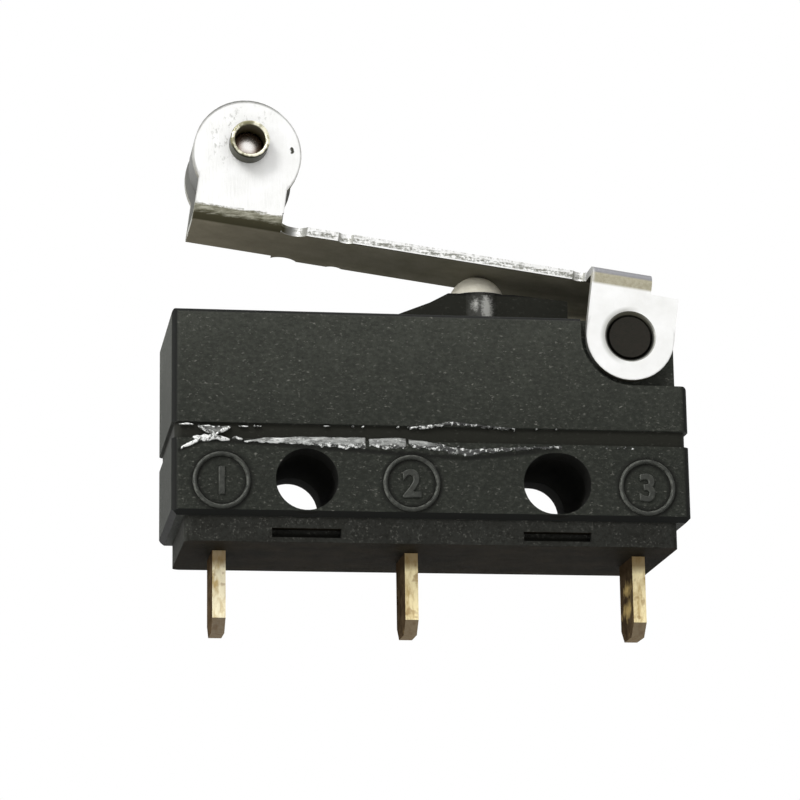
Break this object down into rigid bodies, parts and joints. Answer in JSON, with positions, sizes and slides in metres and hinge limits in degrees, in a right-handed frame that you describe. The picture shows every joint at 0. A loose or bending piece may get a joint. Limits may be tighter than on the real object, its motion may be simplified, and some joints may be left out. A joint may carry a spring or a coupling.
{
  "type": "lever micro switch",
  "caption": "Subminiature snap-action switch: flat plastic housing with two mounting holes, hinged sheet-metal lever with a roller, sprung plunger and flat solder terminals.",
  "frame": {"origin": "centre of the round mounting hole, halfway through the housing's thickness", "axes": "+X along the housing from the normally closed terminal to the common one, +Y through the housing from front to back along the mounting holes, +Z towards the plunger and lever"},
  "size_m": [0.0197, 0.0064, 0.0209],
  "materials": {
    "housing_plastic": "fine textured, dark green-black",
    "base_plastic": "matte, dark brown-black",
    "terminal_brass": "dull, slightly tarnished",
    "lever_steel": "bright, lightly brushed",
    "roller_metal": "smooth, satin",
    "plunger_plastic": "smooth, cream",
    "contact_silver": "bright",
    "spring_bronze": "bright strip"
  },
  "bodies": {
    "housing": {"case": "housing_plastic", "base": "base_plastic", "com_terminal": "terminal_brass", "no_terminal": "terminal_brass", "nc_terminal": "terminal_brass", "no_contact": "contact_silver", "nc_contact": "contact_silver"},
    "lever": {"lever": "lever_steel", "axle": "lever_steel"},
    "roller": {"roller": "roller_metal"},
    "plunger": {"plunger": "plunger_plastic"},
    "drive_leaf": {"drive_leaf": "spring_bronze"},
    "contact_blade": {"contact_blade": "spring_bronze", "moving_contact": "contact_silver", "snap_spring": "spring_bronze"}
  },
  "joints": [
    {"name": "lever_hinge", "type": "hinge", "parent": "housing", "child": "lever", "pos_m": [0.0125, 0, 0.00582], "axis": [0, -1, 0], "range_deg": [0, 7.85], "stiffness_Nm_per_rad": 0.006, "springref_deg": -20.05},
    {"name": "roller_spin", "type": "hinge", "parent": "lever", "child": "roller", "pos_m": [-0.00203, 0, 0.01341], "axis": [0, 1, 0], "continuous": true},
    {"name": "plunger_slide", "type": "slide", "parent": "housing", "child": "plunger", "axis": [0, 0, -1], "range_m": [0, 0.00076]},
    {"name": "drive_leaf_hinge", "type": "hinge", "parent": "housing", "child": "drive_leaf", "pos_m": [0.0119, 0, 0.0033], "axis": [0, -1, 0], "range_deg": [0, 9]},
    {"name": "contact_blade_hinge", "type": "hinge", "parent": "housing", "child": "contact_blade", "pos_m": [0.0119, 0, 0.0033], "axis": [0, -1, 0], "range_deg": [0, 1.9]}
  ],
  "couplings": [
    {"joint": "plunger_slide", "follows": "lever_hinge", "m_per_rad": 0.0055155},
    {"joint": "drive_leaf_hinge", "follows": "lever_hinge", "ratio": 1.1397},
    {"joint": "contact_blade_hinge", "follows": "lever_hinge", "ratio": 0.2373}
  ]
}
